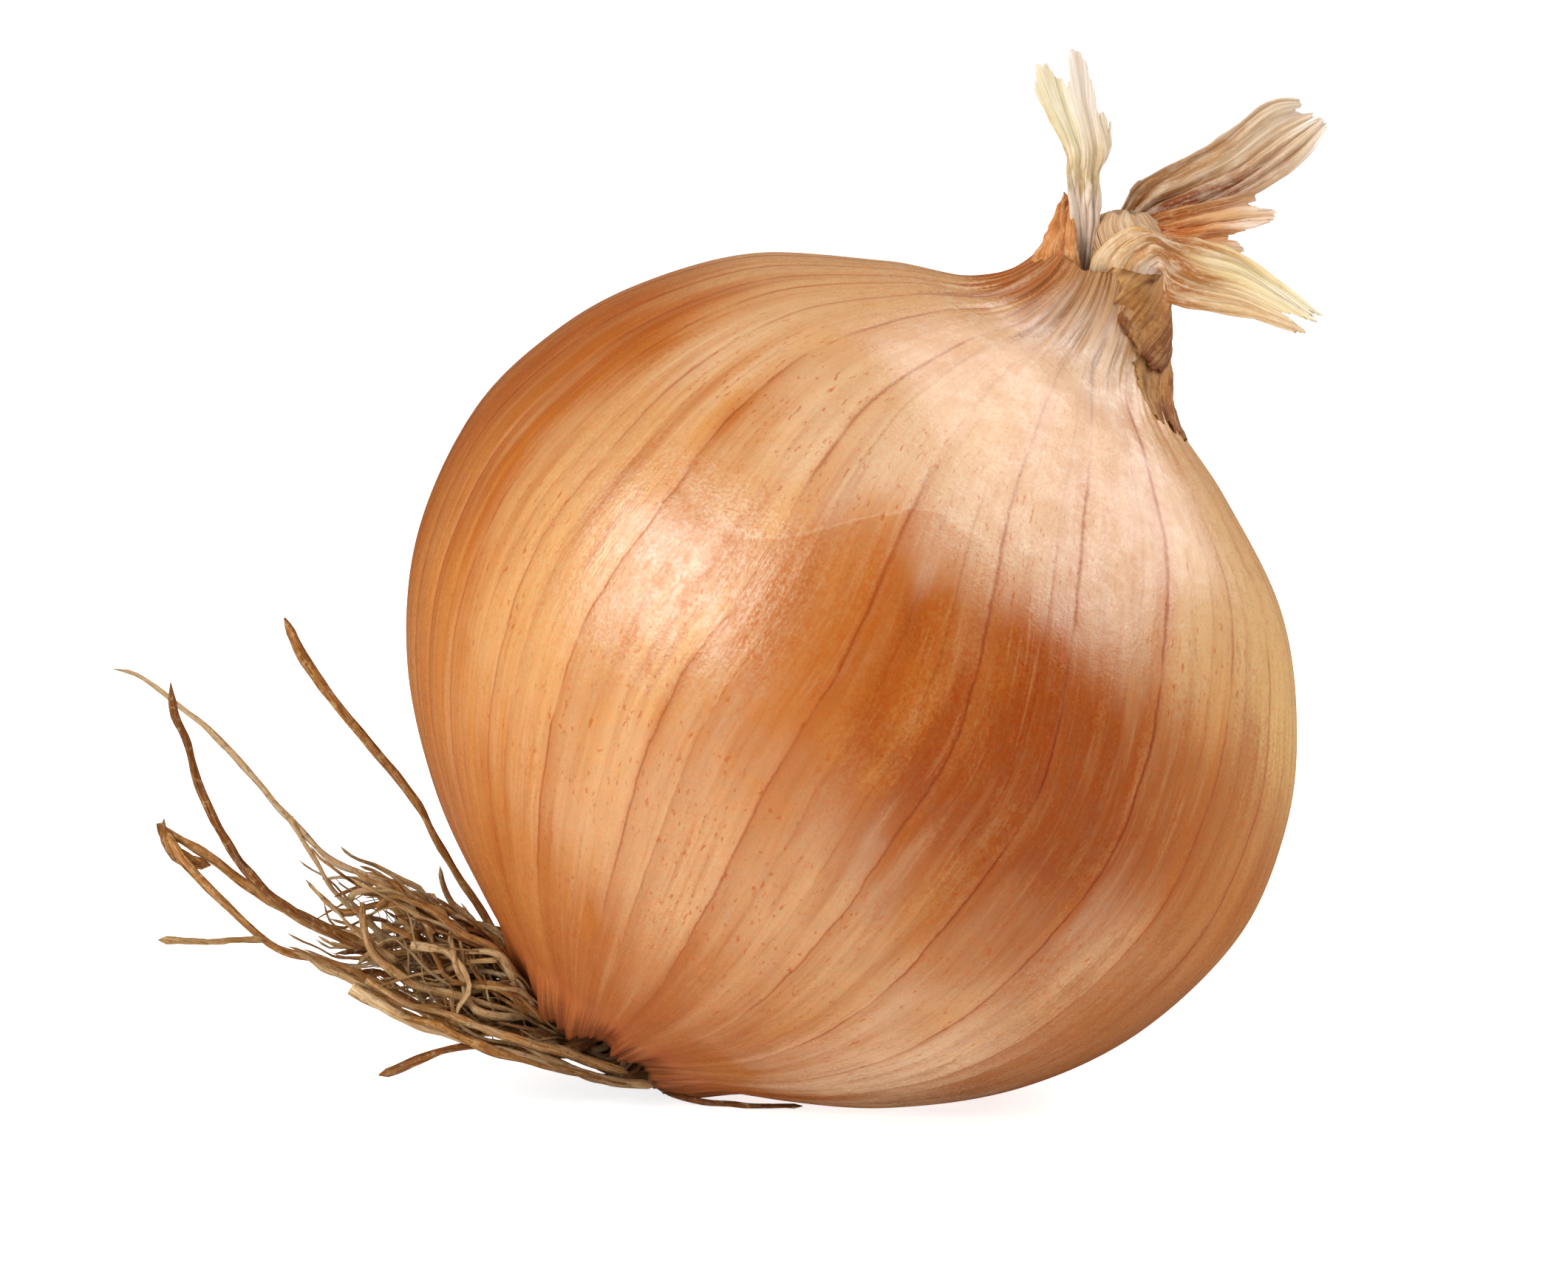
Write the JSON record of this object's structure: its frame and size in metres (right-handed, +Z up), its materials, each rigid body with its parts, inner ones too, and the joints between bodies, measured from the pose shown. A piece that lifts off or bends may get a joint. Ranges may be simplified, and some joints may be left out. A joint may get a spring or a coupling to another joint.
{
  "type": "onion",
  "caption": "Dry bulb onion lying on its side, with papery skin, torn dry leaves at the neck and a tuft of dried roots.",
  "frame": {"origin": "middle of the small flat spot under the bulb that the onion rests on", "axes": "+Z up; +X towards the side that the neck and its leaves point to; the roots point towards -X; the bulb's axis leans 34.7 degrees from +Z towards +X"},
  "size_m": [0.11, 0.084, 0.0947],
  "materials": {
    "skin": "papery skin, semi-gloss, golden orange with fine fibres and veins",
    "sheath": "dry fibrous sheath, matt",
    "pale_leaf": "dry papery leaf, cream and straw, matt",
    "brown_leaf": "dry papery leaf, grey brown, matt",
    "torn_skin": "torn dry skin, ribbed, red brown, matt",
    "root": "dried fibrous roots, brown, matt"
  },
  "bodies": {
    "root": {"bulb": "skin", "neck": "sheath", "leaf_left": "pale_leaf", "leaf_front": "pale_leaf", "leaf_back": "brown_leaf", "leaf_middle": "brown_leaf", "skin_point": "torn_skin", "flap_upper": "torn_skin", "flap_lower": "torn_skin", "roots": "root"}
  },
  "joints": []
}
